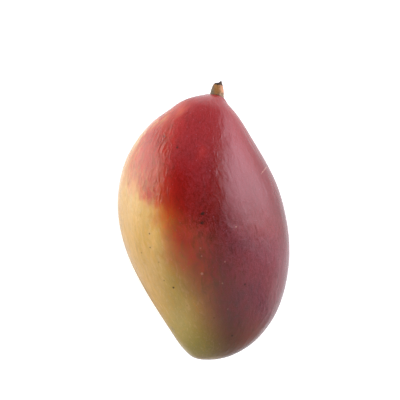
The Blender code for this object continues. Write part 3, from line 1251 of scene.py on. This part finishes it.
# The left one is a window with a crisp curved lower edge, so its zenith edge
# climbs with the square of the turn from its middle.
turn_left = turn_from(160)
off_middle = w_math("ADD", turn_left, math.radians(3))
bowed = w_math(
    "SUBTRACT",
    ZENITH,
    product(
        off_middle,
        off_middle,
        w_math("ADD", w_math("MULTIPLY", w_math("LESS_THAN", off_middle, 0.0), 0.43), 1.06),
    ),
)
level_out = w_ramp(ZENITH, math.radians(138), math.radians(92))
left_panel = w_math(
    "ADD",
    product(
        w_ramp(bowed, math.radians(43.5), math.radians(46.5)),
        level_out,
        w_ramp(turn_left, math.radians(-58), math.radians(-12)),
        w_ramp(turn_left, math.radians(42), math.radians(16)),
        1.62,
    ),
    product(
        w_ramp(bowed, math.radians(45), math.radians(74)),
        level_out,
        w_ramp(turn_left, math.radians(-36), math.radians(-8)),
        w_ramp(
            w_math(
                "ADD",
                turn_left,
                w_math("MULTIPLY", w_math("SUBTRACT", math.radians(92), ZENITH), 0.35),
            ),
            math.radians(35),
            math.radians(8),
        ),
        2.02,
    ),
)
toward_tip = turn_from(-90)
tip_side = product(
    w_ramp(toward_tip, math.radians(-75), math.radians(-40)),
    w_ramp(toward_tip, math.radians(72), math.radians(40)),
)
ground = w_ramp(ZENITH, math.radians(96), math.radians(116))
ground_late = w_ramp(ZENITH, math.radians(122), math.radians(152))
below = w_math(
    "ADD",
    product(w_math("SUBTRACT", 1.0, tip_side), ground),
    product(tip_side, ground_late),
)
RIGHT_TINT = (1.00, 0.965, 1.10)
LEFT_TINT = (1.03, 1.00, 0.93)
PALE_TINT = (1.00, 0.99, 1.02)


def tinted(value, tint):
    node = tree.nodes.new("ShaderNodeVectorMath")
    node.operation = "SCALE"
    node.inputs[0].default_value = tint
    tree.links.new(value, node.inputs["Scale"])
    return node.outputs[0]


def summed(a, b):
    node = tree.nodes.new("ShaderNodeVectorMath")
    node.operation = "ADD"
    tree.links.new(a, node.inputs[0])
    tree.links.new(b, node.inputs[1])
    return node.outputs[0]


overhead_gap = w_ramp(ZENITH, math.radians(26), math.radians(56))


def around(middle, reach_out, reach_in):
    """1 near the direction middle, 0 past reach_out from it, all in degrees."""
    off = w_math("ABSOLUTE", turn_from(middle))
    return w_ramp(off, math.radians(reach_out), math.radians(reach_in))


low_light = w_math("ADD", product(around(85, 28, 8), 0.46), 0.45)
low_light = w_math("ADD", low_light, product(around(15, 70, 30), 0.13))
low_light = w_math("ADD", low_light, product(around(146, 42, 16), 0.40))
low_light = w_math("ADD", low_light, product(around(113, 26, 8), -0.20))
low_light = w_math("ADD", low_light, product(around(202, 26, 8), -0.12))
around_fruit = w_math(
    "ADD", product(below, low_light), w_math("ADD", product(overhead_gap, 0.30), 0.07)
)
# Darkest low down on the left of the tip.
dull = product(around(-141, 12, 2), w_ramp(ZENITH, math.radians(102), math.radians(128)))
around_fruit = product(
    around_fruit, w_math("SUBTRACT", 1.0, product(dull, 0.66))
)
sky = summed(
    summed(tinted(right_panel, RIGHT_TINT), tinted(left_panel, LEFT_TINT)),
    tinted(around_fruit, PALE_TINT),
)
background = tree.nodes.new("ShaderNodeBackground")
tree.links.new(sky, background.inputs["Color"])
seen = tree.nodes.new("ShaderNodeBackground")
seen.inputs["Color"].default_value = (1, 1, 1, 1)
path = tree.nodes.new("ShaderNodeLightPath")
choose = tree.nodes.new("ShaderNodeMixShader")
tree.links.new(path.outputs["Is Camera Ray"], choose.inputs[0])
tree.links.new(background.outputs[0], choose.inputs[1])
tree.links.new(seen.outputs[0], choose.inputs[2])
end = tree.nodes.new("ShaderNodeOutputWorld")
tree.links.new(choose.outputs[0], end.inputs["Surface"])

bpy.context.scene.view_settings.view_transform = "Standard"
